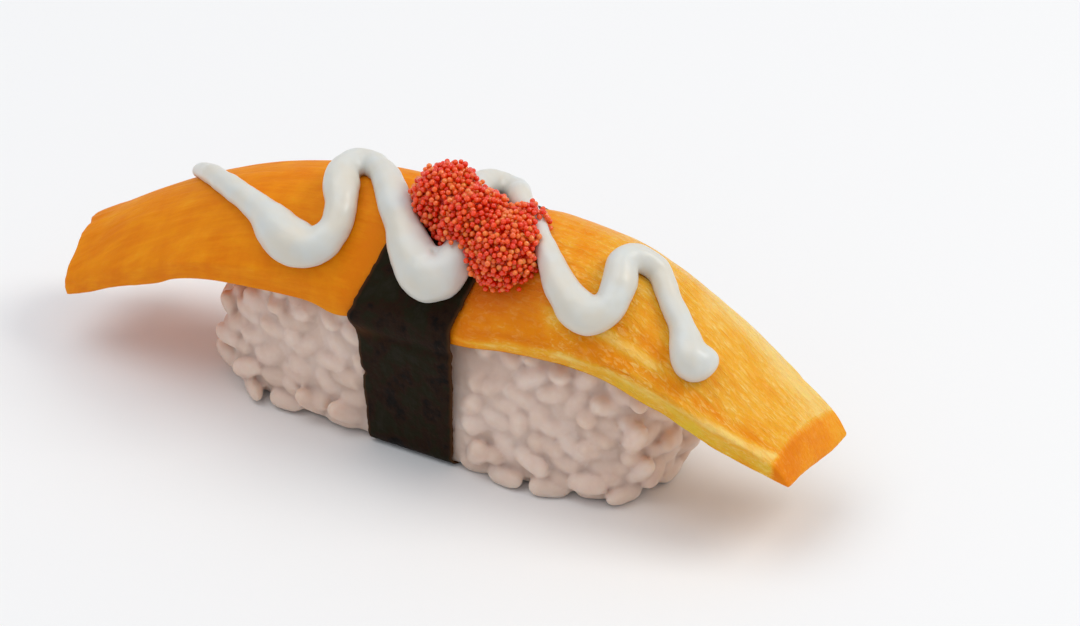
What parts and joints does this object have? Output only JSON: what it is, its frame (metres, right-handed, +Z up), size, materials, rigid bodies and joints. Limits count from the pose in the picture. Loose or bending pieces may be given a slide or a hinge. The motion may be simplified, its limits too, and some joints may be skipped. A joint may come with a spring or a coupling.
{
  "type": "mango nigiri",
  "caption": "Nigiri of moulded sushi rice under a long bent mango slice, tied with a seaweed belt, with a mayonnaise zigzag and a heap of flying fish roe.",
  "frame": {"origin": "middle of the base, on the underside that the nigiri rests on", "axes": "+X along the nigiri's length, -Y its show side, +Z up"},
  "size_m": [0.0903, 0.0245, 0.0327],
  "materials": {
    "mango_flesh": "ripe mango flesh, wet cut surface with fine fibres along its length",
    "seaweed": "roasted seaweed sheet, thin and nearly black, satin with a fine crinkle",
    "sushi_rice": "cooked short-grain rice, moist and slightly translucent",
    "mayonnaise": "thick mayonnaise, smooth with a soft gloss",
    "flying_fish_roe": "small translucent red-orange eggs, wet and shiny"
  },
  "bodies": {
    "root": {"mango_slice": "mango_flesh", "seaweed_belt": "seaweed", "rice_block": "sushi_rice", "mayonnaise": "mayonnaise", "flying_fish_roe": "flying_fish_roe"}
  },
  "joints": []
}
